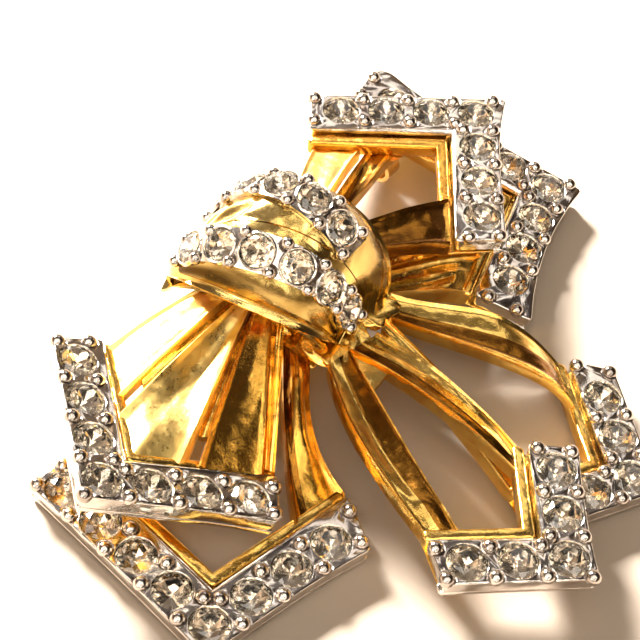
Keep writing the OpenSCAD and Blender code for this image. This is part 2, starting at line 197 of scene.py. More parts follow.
def cast_surface():
    """Colour, polish and fine grain of a plated casting, shared by the metals."""
    group = bpy.data.node_groups.new("cast_surface", "ShaderNodeTree")
    for name, kind, value in (
        ("Metal", "NodeSocketColor", (1, 1, 1, 1)), ("Tarnish", "NodeSocketColor", (0, 0, 0, 1)),
        ("Tarnished", "NodeSocketFloat", 0.2), ("Polish", "NodeSocketFloat", 0.1),
        ("Grain", "NodeSocketFloat", 0.1), ("Waves", "NodeSocketFloat", 0.1),
    ):
        group.interface.new_socket(name, in_out="INPUT", socket_type=kind).default_value = value
    for name, kind in (
        ("Colour", "NodeSocketColor"), ("Roughness", "NodeSocketFloat"), ("Normal", "NodeSocketVector"),
    ):
        group.interface.new_socket(name, in_out="OUTPUT", socket_type=kind)
    nodes, links = group.nodes, group.links
    given, out = nodes.new("NodeGroupInput"), nodes.new("NodeGroupOutput")
    where = nodes.new("ShaderNodeTexCoord")

    def noise(scale, detail, rough=0.5):
        n = nodes.new("ShaderNodeTexNoise")
        n.inputs["Scale"].default_value = scale
        n.inputs["Detail"].default_value = detail
        n.inputs["Roughness"].default_value = rough
        links.new(where.outputs["Object"], n.inputs["Vector"])
        return n.outputs["Fac"]

    def combine(operation, a, b):
        m = nodes.new("ShaderNodeMath")
        m.operation = operation
        links.new(a, m.inputs[0])
        links.new(b, m.inputs[1])
        return m.outputs[0]

    patches, grain = noise(scale=420, detail=4), noise(scale=5200, detail=3, rough=0.6)
    spots = nodes.new("ShaderNodeMapRange")
    spots.inputs["From Min"].default_value, spots.inputs["From Max"].default_value = 0.45, 0.75
    links.new(patches, spots.inputs["Value"])
    colour = nodes.new("ShaderNodeMix")
    colour.data_type = "RGBA"
    links.new(combine("MULTIPLY", spots.outputs[0], given.outputs["Tarnished"]), colour.inputs[0])
    links.new(given.outputs["Metal"], colour.inputs[6])
    links.new(given.outputs["Tarnish"], colour.inputs[7])
    links.new(colour.outputs[2], out.inputs["Colour"])
    rough = combine("MULTIPLY", combine("ADD", patches, grain), given.outputs["Polish"])
    links.new(rough, out.inputs["Roughness"])
    wave, fine = nodes.new("ShaderNodeBump"), nodes.new("ShaderNodeBump")
    wave.inputs["Distance"].default_value, fine.inputs["Distance"].default_value = 0.6 * MM, 0.05 * MM
    links.new(noise(scale=700, detail=1), wave.inputs["Height"])
    links.new(given.outputs["Waves"], wave.inputs["Strength"])
    links.new(grain, fine.inputs["Height"])
    links.new(given.outputs["Grain"], fine.inputs["Strength"])
    links.new(wave.outputs[0], fine.inputs["Normal"])
    links.new(fine.outputs[0], out.inputs["Normal"])
    return group


CAST = cast_surface()


def plating(name, metal, tarnish, tarnished, polish, grain, waves):
    """A plated finish on cast metal."""
    material = bpy.data.materials.new(name)
    material.use_nodes = True
    nodes, links = material.node_tree.nodes, material.node_tree.links
    shader = nodes["Principled BSDF"]
    shader.inputs["Metallic"].default_value = 1.0
    cast = nodes.new("ShaderNodeGroup")
    cast.node_tree = CAST
    for socket, value in (("Metal", (*metal, 1)), ("Tarnish", (*tarnish, 1)), ("Tarnished", tarnished),
                          ("Polish", polish), ("Grain", grain), ("Waves", waves)):
        cast.inputs[socket].default_value = value
    for output, socket in (("Colour", "Base Color"), ("Roughness", "Roughness"), ("Normal", "Normal")):
        links.new(cast.outputs[output], shader.inputs[socket])
    return material


GOLDS = (
    plating("polished_gold", (1.0, 0.67, 0.18), (0.62, 0.25, 0.02),
            tarnished=0.7, polish=0.16, grain=0.35, waves=0.25),
    plating("satin_gold", (0.93, 0.65, 0.21), (0.8, 0.4, 0.06),
            tarnished=0.6, polish=0.36, grain=0.22, waves=0.3),
    # A darker copy of the gold, which paints shade.
    plating("shaded_gold", (0.82, 0.44, 0.08), (0.5, 0.2, 0.02),
            tarnished=0.6, polish=0.22, grain=0.3, waves=0.25),
    # A near black gold, which paints shade in folds and on a shaded pleat.
    plating("painted_shade_gold", (0.3, 0.13, 0.018), (0.13, 0.045, 0.006),
            tarnished=0.9, polish=0.2, grain=0.3, waves=0.3),
)


def finish_piece(name, bm, materials, stands_for, smooth=40):
    """Makes the finished piece from a shape in millimetres, riding with the brooch."""
    bmesh.ops.scale(bm, vec=(MM,) * 3, verts=bm.verts)
    mesh = bpy.data.meshes.new(name)
    bm.to_mesh(mesh)
    bm.free()
    for m in materials:
        mesh.materials.append(m)
    if smooth:
        mesh.shade_smooth()
        mesh.set_sharp_from_angle(angle=math.radians(smooth))
    piece = bpy.data.objects.new(name, mesh)
    bpy.context.scene.collection.objects.link(piece)
    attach(piece, "root")
    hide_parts(*stands_for)


def set_on_face(bm, angle):
    """Moves a shape drawn flat to where its angle is, mirrored on the left."""
    bmesh.ops.transform(bm, matrix=on_face(angle), verts=bm.verts)
    if angle["side"] < 0:
        bmesh.ops.reverse_faces(bm, faces=bm.faces)


def tray(angle):
    """The tray under an angle's setting, and the lip inside it."""
    bm = bmesh.new()
    low, inner = -SLAB_T - TRAY_T, inside(angle) + GAP
    base = band_body(angle, inner + LIP_W, low + TRAY_T - GAP, low, inset=TRAY_INSET, draft=0.1, edge=0.06)
    add_to(bm, base)
    lip = band_body(angle, inner + LIP_W, -LIP_DROP, low, outer=inner, corner=0.35, edge=0.28)
    # The lip may take a darker copy of the gold, which paints shade.
    for f in lip.faces:
        f.material_index = angle.get("lip", POLISHED)
    add_to(bm, lip)
    set_on_face(bm, angle)
    return bm


# Pleats. Inside each angle the ribbon is gathered in cast sheets with rolled
# edges, which run from the lip up under the knot. Some are satin, some painted
# in a darker gold for shade, some with painted shade in their folds, and they
# meet in a pool of solder.
PLEAT_T, PLEAT_STEPS, PLEAT_ACROSS, CROWDED = 0.7, 40, 28, 0.35
ROLL_AT, ROLL_W, RIM_DROP, RIM_W, RIDGE_W, DENT = 0.05, 0.045, 0.3, 0.03, 0.07, 0.05
WEB_T, WEB_STEPS, WEB_ACROSS, WEB_DROP, WEB_FROM, WEB_TO = 0.5, 24, 10, 0.25, 0.96, 0.04
LUMP_SQUARE, LUMP_RIPPLE = 0.6, 0.07
UPPER_ROOT = (4.4, 13.1, 6.6), (4, 7.4, 6.2)
UPPER_LUMPS = ((0.05, 7.1, 3.45), (4.9, 13.4, 5.95)), ((0.05, 12.9, 3.45), (2.7, 15.9, 4.25))
LOWER_ROOT = (3.7, 12.1, 3.35), (3.2, 5.5, 3.35)
LOWER_LUMPS = (((0.05, 5.1, 2.05), (4.4, 12.5, 3.25)),)

# A pleat spans shares of the lip at its tip, from -1 to 1, and of the root under
# the knot at its start. Crown, arch, bow, lift and spread shift its middle, late
# and waist draw it in, fall and over place its tip on the lip, and roll, hollow
# and ridge are its relief. Dark is the part of its width that lies in a fold,
# which is painted with shade. A web joins a pleat to the next over a share of
# its length, and sags by a depth.
PLEAT = dict(over=0.5, late=1, waist=0, bow=0, lift=0, spread=0, roll=0.22, hollow=0.25, ridge=0,
             ridge_at=0.5, finish=POLISHED, dark=(1, 1))
LOOPS = {
    "upper_left": dict(
        node="upper_loop_left", root=UPPER_ROOT, lumps=UPPER_LUMPS,
        pleats=(
            dict(tip=(-0.98, -0.5), at=(0, 0.32), crown=0.5, arch=0.3, fall=0.2, hollow=0.35, finish=SATIN),
            dict(tip=(-0.4, 0.37), at=(0.4, 0.56), crown=-0.4, arch=0.4, fall=0.15, hollow=0.8, over=0.35,
                 finish=SATIN),
            dict(tip=(0.45, 0.92), at=(0.58, 0.84), crown=0.1, arch=0.3, fall=0, hollow=0.3, over=0.2,
                 finish=DEEP_SHADE),
            dict(tip=(0.95, 1), at=(0.88, 1), crown=0.1, arch=0.3, fall=0.3, over=0.3),
        ), webs=((0, 0.8, 0.5), (1, 0.8, 0.4), (2, 0.97, 0.3))),
    "upper_right": dict(
        node="upper_loop_right", root=UPPER_ROOT, lumps=UPPER_LUMPS,
        pleats=(
            dict(tip=(-0.97, -0.58), at=(0, 0.38), crown=0.4, arch=0.6, fall=0.7, over=1.1, finish=SATIN),
            dict(tip=(-0.55, -0.32), at=(0.41, 0.6), crown=-0.2, arch=0.2, fall=1, over=1, hollow=0.6,
                 dark=(0.25, 0.75)),
            dict(tip=(0.56, 1), at=(0.6, 1), crown=0.1, arch=0.4, fall=0.1, over=0.25, finish=DARK_SHADE),
        )),
    "lower_left": dict(
        node="lower_loop_left", root=LOWER_ROOT, lumps=LOWER_LUMPS,
        pleats=(
            dict(tip=(-0.98, -0.92), at=(0, 0.1), crown=0.2, arch=0.2, fall=0.15),
            dict(tip=(0.6, 1), at=(0.66, 1), crown=0.9, arch=0.4, fall=0.2, hollow=-0.6, roll=0.4, bow=0.2,
                 lift=0.9, waist=0.3, late=1.4, dark=(0.05, 0.3), finish=DEEP_SHADE),
        )),
    "lower_right": dict(
        node="lower_loop_right", root=LOWER_ROOT, lumps=LOWER_LUMPS,
        pleats=(
            dict(tip=(-0.98, -0.88), at=(0, 0.2), crown=0.2, arch=0.2, fall=0.4),
            dict(tip=(0.28, 0.52), at=(0.5, 0.7), crown=0.4, arch=0.4, fall=0.4, hollow=0.7, roll=0.4),
            dict(tip=(0.6, 1), at=(0.72, 1), crown=0.5, arch=0.5, fall=0.3, hollow=0.8, roll=0.35, ridge=0.4,
                 ridge_at=0.4),
        )),
    "tail_left": dict(
        node="tail_left", root=((3.4, 4, 4.25), (-1, 2.9, 4.25)),
        lumps=(((-1.1, 2.9, 3.55), (3.4, 6.9, 4.25)),),
        pleats=(
            dict(tip=(-0.97, -0.62), at=(0, 0.45), crown=0.5, arch=0.6, fall=0.3, bow=0.5, lift=1.3,
                 spread=1.5, hollow=1, dark=(0.5, 0.93)),
            dict(tip=(0.64, 1), at=(0.42, 1), crown=0.6, arch=1, fall=0.3, hollow=0.6, ridge=0.6,
                 ridge_at=0.52, dark=(0.12, 0.42)),
        ), webs=((0, 0.22, 0.05),)),
    "tail_right": dict(
        node="tail_right", root=((4.6, 4.2, 4.05), (1.4, 2.9, 4.05)),
        lumps=(((1.2, 2.9, 3.55), (4.6, 6.9, 4.25)),),
        pleats=(
            dict(tip=(-0.99, -0.5), at=(0, 0.6), crown=0.4, arch=1.5, fall=0.3, bow=0.5, lift=1, spread=2,
                 late=1.7, hollow=0.4, dark=(0.48, 0.9)),
            dict(tip=(0.55, 1), at=(0.65, 1), crown=0.3, arch=0.2, fall=0.3),
        )),
}


def bell(x, at, width):
    return math.exp(-((x - at) / width) ** 2)


def tip_point(angle, share, depth, over):
    """A point by the lip, at a share of the way from the corner along either arm."""
    line = angle_line(angle, inside(angle) + GAP + LIP_W * over)
    p = mix(line[1], line[0], -share) if share < 0 else mix(line[1], line[2], share)
    return on_face(dict(angle, side=1)) @ Vector((p.x, p.y, -depth))


def pleat_point(angle, root, row, u, w):
    """The plain form of a pleat, at shares of its length and width."""
    t = u ** row["late"]
    w = 0.5 + (w - 0.5) * (1 - row["waist"] * 4 * t * (1 - t))
    start = mix(Vector(root[0]), Vector(root[1]), mix(*row["at"], w))
    end = tip_point(angle, mix(*row["tip"], w), LIP_DROP + row["fall"], row["over"])
    p = mix(start, end, u)
    p.z += row["crown"] * 4 * w * (1 - w) * math.sin(math.pi * u)
    return p + Vector((row["bow"], row["lift"] - row["spread"] * w, row["arch"])) * 4 * t * (1 - t)


def across_sheet(y):
    """A share of a sheet's width, with its lines closer together at both edges."""
    return (1 + math.sin(y * math.pi / 2) * CROWDED + y * (1 - CROWDED)) / 2


def sheet(point, steps, across, thick, finish=POLISHED, dark=(1, 1)):
    """A cast sheet, its top drawn by a function of its length and width, with
    painted shade in a darker gold over a part of the width."""
    bm = bmesh.new()
    bmesh.ops.create_grid(bm, x_segments=steps, y_segments=across, size=1)
    for f in bm.faces:
        w = across_sheet(f.calc_center_median().y)
        # Faces across the dark share take the near black gold: painted shade.
        f.material_index = DARK_SHADE if dark[0] < w < dark[1] else finish
    for v in bm.verts:
        v.co = point((v.co.x + 1) / 2, across_sheet(v.co.y))
    lowered = bmesh.ops.extrude_face_region(bm, geom=bm.faces[:])
    verts = [v for v in lowered["geom"] if isinstance(v, bmesh.types.BMVert)]
    bmesh.ops.translate(bm, vec=(0, 0, -thick), verts=verts)
    bmesh.ops.recalc_face_normals(bm, faces=bm.faces)
    return bm


def pleat(angle, root, row):
    """A pleat with rolled edges, a hollow along its middle and a few soft dents."""
    def point(u, w):
        p = pleat_point(angle, root, row, u, w)
        edge = min(w, 1 - w)
        p.z += row["roll"] * bell(edge, ROLL_AT, ROLL_W) - RIM_DROP * max(0, 1 - edge / RIM_W)
        p.z -= row["hollow"] * math.sin(math.pi * w) ** 1.5 * math.sin(math.pi * min(1, u * 1.2)) ** 0.7
        p.z += row["ridge"] * bell(w, row["ridge_at"], RIDGE_W) * math.sin(math.pi * u)
        p.z += DENT * math.sin(9 * u + 5 * w + root[0][0]) * math.sin(7 * w - 4 * u)
        return p

    return sheet(point, PLEAT_STEPS, PLEAT_ACROSS, PLEAT_T, row["finish"], row["dark"])


def web(angle, root, near, far, reach, depth):
    """The valley of metal between two pleats, open at its far end."""
    def point(u, w):
        u = u * reach
        p = mix(pleat_point(angle, root, near, u, WEB_FROM), pleat_point(angle, root, far, u, WEB_TO), w)
        p.z -= WEB_DROP + depth * math.sin(math.pi * w)
        return p

    return sheet(point, WEB_STEPS, WEB_ACROSS, WEB_T)


def lump(ends):
    """A soft pool of solder that fills the space between two corners."""
    bm = bmesh.new()
    low, high = Vector(ends[0]), Vector(ends[1])
    bmesh.ops.create_icosphere(bm, subdivisions=5, radius=1)
    for v in bm.verts:
        c = v.co.copy()
        squared = Vector([math.copysign(abs(x) ** LUMP_SQUARE, x) for x in c])
        ripple = 1 + LUMP_RIPPLE * math.sin(8 * c.x + 4 * c.y) * math.sin(7 * c.y - 5 * c.z)
        v.co = (low + high) / 2 + Vector([x * h / 2 * ripple for x, h in zip(squared, high - low)])
    return bm


for name, loop in LOOPS.items():
    angle, root = ANGLES[name], loop["root"]
    rows = [dict(PLEAT, **row) for row in loop["pleats"]]
    bm = tray(angle)
    mirror = Matrix.Diagonal((angle["side"], 1, 1, 1))
    for row in rows:
        add_to(bm, pleat(angle, root, row), mirror)
    for first, reach, depth in loop.get("webs", ()):
        add_to(bm, web(angle, root, rows[first], rows[first + 1], reach, depth), mirror)
    for ends in loop["lumps"]:
        add_to(bm, lump(ends), mirror)
    finish_piece(loop["node"] + "_gold", bm, GOLDS, [loop["node"]])

# Paved settings. The angles' faces are rhodium plated, with a narrow rim, a seat
# drilled for each stone, and round beads raised between the stones to hold them.
STONE_D, STONE_H, CROWN_H, GIRDLE_H, SINK = 2.6, 0.8, 0.42, 0.12, 0.1
SEAT_GAP, SEAT_T, SEAT_MOUTH, SEAT_LEDGE, SEAT_TOP = 0.06, 1, 0.14, 0.02, 0.8
COLLAR_GAP, COLLAR_W, COLLAR_UP, COLLAR_DOWN = 0.03, 0.2, 0.1, 0.2
BEAD_D, BEAD_OUT, BEAD_IN, BEAD_SUNK, END_BEAD, CORNER_BEAD = 1.05, 1.15, 1.05, 0.08, 0.35, 0.55
MOAT_R, MOAT_UP = 0.95, 0.72
SKIRT_W, SKIRT_LAP, SKIRT_UP = 0.8, 0.1, 0.04
SETTING = (
    plating("polished_rhodium", (0.8, 0.75, 0.69), (0.4, 0.31, 0.26),
            tarnished=0.7, polish=0.12, grain=0.2, waves=0.2),
    # A dark copy of the rhodium for the seat walls, which paints shade.
    plating("recess_shade_rhodium", (0.32, 0.27, 0.23), (0.14, 0.11, 0.09),
            tarnished=0.8, polish=0.3, grain=0.3, waves=0.2),
    # A darker copy of the rhodium for the beads, which paints shade.
    plating("bead_shade_rhodium", (0.62, 0.56, 0.51), (0.24, 0.18, 0.15),
            tarnished=0.8, polish=0.1, grain=0.2, waves=0.1),
)
RIM, RECESS, BEAD = range(3)


def stone_places(angle):
    """The middles of an angle's stones, from its first end round the corner."""
    turn = Matrix.Rotation(opening(angle), 2)
    first = [Vector((i * PITCH, 0)) for i in range(angle["stones"][0], -1, -1)]
    return first + [turn @ Vector((i * PITCH, 0)) for i in range(1, angle["stones"][1] + 1)]


def bead_places(angle):
    """The beads on both sides between the stones, at the ends and at the corner."""
    a = opening(angle)
    turn = Matrix.Rotation(a, 2)
    sides = (-BEAD_OUT, BEAD_IN)

    def arm(n):
        between = [Vector(((i + 0.5) * PITCH, y)) for i in range(angle["stones"][n]) for y in sides]
        return between + [Vector((arm_length(angle, n, y) - END_BEAD, y)) for y in sides]

    second = [turn @ Vector((p.x, -p.y)) for p in arm(1)]
    corner = Matrix.Rotation(a / 2, 2) @ Vector((-STONE_D / 2 - CORNER_BEAD, 0))
    return arm(0) + second + [corner]


def turned(line, steps=40):
    """A turned shape: a line of (radius, height) points spun round its middle."""
    bm = bmesh.new()
    verts = [bm.verts.new((r, 0, z)) for r, z in line]
    edges = [bm.edges.new(pair) for pair in zip(verts, verts[1:])]
    if line[0][0] > 0:
        edges.append(bm.edges.new((verts[-1], verts[0])))
    bmesh.ops.spin(bm, geom=verts + edges, axis=(0, 0, 1), cent=(0, 0, 0), angle=math.tau, steps=steps,
                   use_merge=True)
    bmesh.ops.remove_doubles(bm, verts=bm.verts, dist=1e-4)
    bmesh.ops.recalc_face_normals(bm, faces=bm.faces)
    return bm


def seat(d):
    """The drilled hollow that a stone sits in, its top at the girdle."""
    r, low = d / 2 + SEAT_GAP, -GIRDLE_H
    return turned(((0, low - SEAT_T), (r * 0.25, low - 0.95 * SEAT_T), (r, low - 0.1 * SEAT_T),
                   (r, SEAT_LEDGE), (r + SEAT_MOUTH, SEAT_TOP), (0, SEAT_TOP)))


def collar(d):
    """The thin raised rim around a stone."""
    r = d / 2 + COLLAR_GAP
    return turned(((r, -COLLAR_DOWN), (r + 0.02, 0.06), (r + 0.08, COLLAR_UP), (r + 0.15, 0.05),
                   (r + COLLAR_W, -COLLAR_DOWN)))


def bead(d):
    """A round bead, raised to hold the stones beside it."""
    bm = bmesh.new()
    bmesh.ops.create_icosphere(bm, subdivisions=3, radius=d / 2)
    for f in bm.faces:
        f.material_index = BEAD
    return bm


def moat(d):
    """The shallow hollow cut around a bead."""
    bm = bmesh.new()
    bmesh.ops.create_icosphere(bm, subdivisions=3, radius=MOAT_R * d)
    bmesh.ops.translate(bm, vec=(0, 0, MOAT_UP * d), verts=bm.verts)
    return bm


def cut_seats(bm, seats):
    """Cuts the seats out of a setting, their walls in a dark rhodium that paints shade in the recess."""
    objects = []
    for finish, shape in ((RIM, bm), (RECESS, seats)):
        for f in shape.faces:
            f.material_index = finish
        bmesh.ops.triangulate(shape, faces=shape.faces)
        mesh = bpy.data.meshes.new("setting")
        shape.to_mesh(mesh)
        shape.free()
        for m in SETTING:
            mesh.materials.append(m)
        objects.append(bpy.data.objects.new("setting", mesh))
        bpy.context.scene.collection.objects.link(objects[-1])
    cut = objects[0].modifiers.new("seats", "BOOLEAN")
    cut.operation, cut.object, cut.solver = "DIFFERENCE", objects[1], "EXACT"
    cut.use_self = True
    left = objects[0].evaluated_get(bpy.context.evaluated_depsgraph_get())
    bm = bmesh.new()
    bm.from_mesh(left.to_mesh())
    left.to_mesh_clear()
    for o in objects:
        mesh = o.data
        bpy.data.objects.remove(o)
        bpy.data.meshes.remove(mesh)
    bmesh.ops.remove_doubles(bm, verts=bm.verts, dist=1e-4)
    return bm


for name, angle in ANGLES.items():
    slab = band_body(angle, inside(angle), 0, -SLAB_T, draft=0.12, corner=0.35, edge=0.14, inner_edge=0.4)
    skirt = band_body(angle, SKIRT_W - BAND_OUT, -SLAB_T + SKIRT_LAP, -SLAB_T - TRAY_T + SKIRT_UP,
                      inset=0.1, draft=0.05, corner=0.2, edge=0.1)
    seats = bmesh.new()
    for p in stone_places(angle):
        add_to(seats, seat(STONE_D), Matrix.Translation((p.x, p.y, -SINK)))
    for p in bead_places(angle):
        add_to(seats, moat(BEAD_D), Matrix.Translation((p.x, p.y, 0)))
    slab = cut_seats(slab, seats)
    add_to(slab, skirt)
    for p in stone_places(angle):
        add_to(slab, collar(STONE_D), Matrix.Translation((p.x, p.y, -SINK)))
    for p in bead_places(angle):
        add_to(slab, bead(BEAD_D), Matrix.Translation((p.x, p.y, -BEAD_D * BEAD_SUNK)))
    set_on_face(slab, angle)
    kind, side = name.split("_")
    finish_piece(f"{kind}_setting_{side}_pave", slab, SETTING, [f"{kind}_setting_{side}"])

# Stones. Round brilliants of warm, faintly champagne glass with foiled backs: a
# table, eight star and eight main facets, a girdle of sixteen sides and a point
# behind. Each lies turned and tipped a little differently in its seat.
STARS, GIRDLE_SIDES, TABLE_R, STAR_R, BACK_R, STAR_H, BACK_H = 8, 16, 0.54, 0.79, 0.55, 0.265, 0.4
TURN_EACH, TIP_EACH = 0.7, 2.5


def stone_glass():
    """Clear glass, a little warmer in places and faintly rubbed."""
    material = bpy.data.materials.new("cut_glass")
    material.use_nodes = True
    nodes, links = material.node_tree.nodes, material.node_tree.links
    shader = nodes["Principled BSDF"]
    shader.inputs["Transmission Weight"].default_value = 1.0
    shader.inputs["IOR"].default_value = 1.58
    where = nodes.new("ShaderNodeTexCoord")
    cloud, tint = nodes.new("ShaderNodeTexNoise"), nodes.new("ShaderNodeValToRGB")
    cloud.inputs["Scale"].default_value = 380
    pale, clear = tint.color_ramp.elements
    pale.color, clear.color = (1.0, 0.9, 0.76, 1), (1.0, 0.97, 0.93, 1)
    pale.position, clear.position = 0.35, 0.7
    links.new(where.outputs["Object"], cloud.inputs["Vector"])
    links.new(cloud.outputs["Fac"], tint.inputs["Fac"])
    links.new(tint.outputs["Color"], shader.inputs["Base Color"])
    rub, polish = nodes.new("ShaderNodeTexNoise"), nodes.new("ShaderNodeMapRange")
    rub.inputs["Scale"].default_value = 2500
    polish.inputs["To Min"].default_value, polish.inputs["To Max"].default_value = 0.0, 0.06
    links.new(where.outputs["Object"], rub.inputs["Vector"])
    links.new(rub.outputs["Fac"], polish.inputs["Value"])
    links.new(polish.outputs[0], shader.inputs["Roughness"])
    return material


FOILED_GLASS = (
    stone_glass(),
    plating("foil", (1.0, 0.98, 0.92), (0.95, 0.82, 0.64), tarnished=0.6, polish=0.08, grain=0.1, waves=0.05),
)


def brilliant(d):
    """A faceted stone with a foiled back, its girdle's top edge at zero height."""
    bm = bmesh.new()
    r, k = d / 2, d / STONE_D
    rings = (
        (STARS, TABLE_R * r, CROWN_H * k, 0.0), (STARS, STAR_R * r, STAR_H * k, 0.5),
        (GIRDLE_SIDES, r, 0.0, 0.25), (GIRDLE_SIDES, r, -GIRDLE_H, 0.25),
        (STARS, BACK_R * r, -GIRDLE_H - BACK_H * k, 0.5), (1, 0.0, -GIRDLE_H - STONE_H * k, 0.0),
    )
    for count, radius, height, offset in rings:
        for i in range(count):
            a = math.tau * (i + offset) / count
            bm.verts.new((radius * math.cos(a), radius * math.sin(a), height))
    bmesh.ops.convex_hull(bm, input=bm.verts)
    bmesh.ops.dissolve_limit(bm, angle_limit=math.radians(1), verts=bm.verts, edges=bm.edges)
    bmesh.ops.recalc_face_normals(bm, faces=bm.faces)
    for f in bm.faces:
        f.material_index = 1 if f.normal.z < -0.05 else 0
    return bm


for name, angle in ANGLES.items():
    bm = bmesh.new()
    places = stone_places(angle)
    for n, p in enumerate(places):
        set_in = Matrix.Translation((p.x, p.y, -SINK)) @ Matrix.Rotation(TURN_EACH * n, 4, "Z")
        set_in = set_in @ Matrix.Rotation(math.radians(TIP_EACH * math.sin(3.1 * n + 1)), 4, "X")
        add_to(bm, brilliant(STONE_D), on_face(angle) @ set_in)
    nodes = [f"{name}_stone_{n + 1}" for n in range(len(places))]
    finish_piece(name + "_stones", bm, FOILED_GLASS, nodes, smooth=0)

# Knot. The ribbon is tied with two domed bands. The right one comes out from
# under the left one in a small tuck. Both are polished gold with a rolled rim,
# with painted shade where the dome turns down.
KNOT_Y, KNOT_END_Z, KNOT_HALF_L, KNOT_HALF_W, KNOT_TOP_Z = 10.4, 4.35, 5.9, (5.6, 5.0), (12.2, 12.9)
KNOT_LEAN, KNOT_TAPER, ROUND_ALONG, ROUND_ACROSS, CREST_STEP = 1.6, 0.57, 0.9, 0.55, 0.2
WRAP_T, STRIP_W, STRIP_T, STRIP_RISE, KNOT_STONE_D, STRIP_END = 0.9, 2.7, 1.3, 0.35, 2.2, 0.16
MARGIN, BAND_ROWS, TOWARDS_RIM, SLOT_GAP, SLOT_EDGE, SLOT_END = 16, 72, 1.8, 0.004, 0.03, 0.02
ROLL_H, ROLL, GROOVE_H, GROOVE = 0.26, (0.04, 0.045), 0.14, (0.16, 0.07)
TUCK_AT, TUCK_FOLDS, TUCK_SLANT, SHADE_FROM = (0.55, 0.25), 26, 5, 0.25

# Across, places are shares of the knot's half turn from -1 to 1. Skew is how
# much a place shifts along the knot. Rims says which side is rolled, and tuck is
# the height of the folds on the other. Dark is the least and the added painted
# shade of the rolled side, then where it is deepest and how wide, across and along.
BANDS = {
    "left": dict(edges=(-0.88, -0.205), skewed=(0, -0.19), middle=-0.455, skew=-0.165, tuck=0, rims=(1, 0),
                 stones=(-0.81, -0.55, -0.28, 0, 0.27, 0.54), dark=(0.4, 0.6, (0.55, 0.28), (0.4, 0.5))),
    "right": dict(edges=(-0.193, 0.72), skewed=(-0.19, 0), middle=0.13, skew=0.15, tuck=0.22, rims=(0, 1),
                  stones=(-0.35, -0.09, 0.17, 0.43, 0.69), dark=(0.35, 0.4, (0.6, 0.3), (-0.35, 0.4))),
}


def clamp(x, low, high):
    return min(max(x, low), high)


def knot_base(u, v):
    """The knot's dome, at shares of its width and length."""
    a = math.radians(90 * v)
    c = max(math.cos(a), 0)
    b = max(math.cos(math.radians(90 * u)), 0)
    w = KNOT_HALF_W[0 if u < 0 else 1]
    top = mix(*KNOT_TOP_Z, clamp((u + CREST_STEP) / CREST_STEP / 2, 0, 1))
    return Vector((
        -KNOT_LEAN * v + w * math.sin(math.radians(90 * u)) * mix(KNOT_TAPER, 1, c),
        KNOT_Y + KNOT_HALF_L * math.sin(a),
        mix(KNOT_END_Z, top, c ** ROUND_ALONG * b ** ROUND_ACROSS)))


def knot_normal(u, v, e=0.02):
    across = knot_base(u + e, v) - knot_base(u - e, v)
    length = knot_base(u, min(v + e, 1)) - knot_base(u, max(v - e, -1))
    return across.cross(length).normalized()


def on_knot(u, v, h=0.0):
    """A point at a height above the dome."""
    return knot_base(u, v) + knot_normal(u, v) * h


def strip_half(band):
    """Half a strip's width, as a share of the knot's half turn."""
    return STRIP_W / 2 / (KNOT_HALF_W[0 if band["middle"] < 0 else 1] * math.pi / 2)


def strip_span(band):
    return band["stones"][0] - STRIP_END, band["stones"][-1] + STRIP_END


def strip_mid(band, v):
    return band["middle"] + band["skew"] * v


def thicken(bm, thick):
    """Gives an open surface its thickness, inwards from its outer face."""
    bmesh.ops.recalc_face_normals(bm, faces=bm.faces)
    lowered = bmesh.ops.extrude_face_region(bm, geom=bm.faces[:])
    for v in lowered["geom"]:
        if isinstance(v, bmesh.types.BMVert):
            v.co += v.normal * -thick
    bmesh.ops.recalc_face_normals(bm, faces=bm.faces)


def knot_band(band):
    """A domed band with rolled rims and a slot for its paved strip."""
    bm = bmesh.new()
    columns = 2 * MARGIN + 1
    bmesh.ops.create_grid(bm, x_segments=columns, y_segments=BAND_ROWS, size=1)
    low, high = strip_span(band)
    half = strip_half(band) + SLOT_GAP
    shade = bm.verts.layers.float.new("shade")
    least, added, (dark_u, wide_u), (dark_v, wide_v) = band["dark"]
    length = {}
    for vert in bm.verts:
        column = round((vert.co.x + 1) / 2 * columns)
        v = length[vert.index] = vert.co.y
        left, right = (e + s * v for e, s in zip(band["edges"], band["skewed"]))
        mid = strip_mid(band, clamp(v, low, high))
        mid = clamp(mid, left + half + SLOT_EDGE, right - half - SLOT_EDGE)
        if column <= MARGIN:
            t = (column / MARGIN) ** TOWARDS_RIM
            u, rolled = mix(left, mid - half, t), band["rims"][0]
        else:
            t = ((columns - column) / MARGIN) ** TOWARDS_RIM
            u, rolled = mix(right, mid + half, t), band["rims"][1]
        if rolled:
            h = ROLL_H * bell(t, *ROLL) - GROOVE_H * bell(t, *GROOVE)
            # Painted shade on the rolled side, kept in the shade attribute.
            deep = math.exp(-((t - dark_u) / wide_u) ** 4 - ((v - dark_v) / wide_v) ** 4)
            vert[shade] = min(1, t / SHADE_FROM) * (least + added * deep)
        else:
            fold = bell(v, *TUCK_AT) * math.sin(math.pi * min(1, t * 1.1))
            h = band["tuck"] * fold * math.sin(TUCK_FOLDS * v + TUCK_SLANT * t)
        vert.co = on_knot(u, v, h)
    slot = []
    for f in bm.faces:
        rows = [length[v.index] for v in f.verts]
        between = sorted({v.index % (columns + 1) for v in f.verts}) == [MARGIN, MARGIN + 1]
        if between and min(rows) >= low - SLOT_END and max(rows) <= high + SLOT_END:
            slot.append(f)
    bmesh.ops.delete(bm, geom=slot, context="FACES")
    thicken(bm, WRAP_T)
    return bm


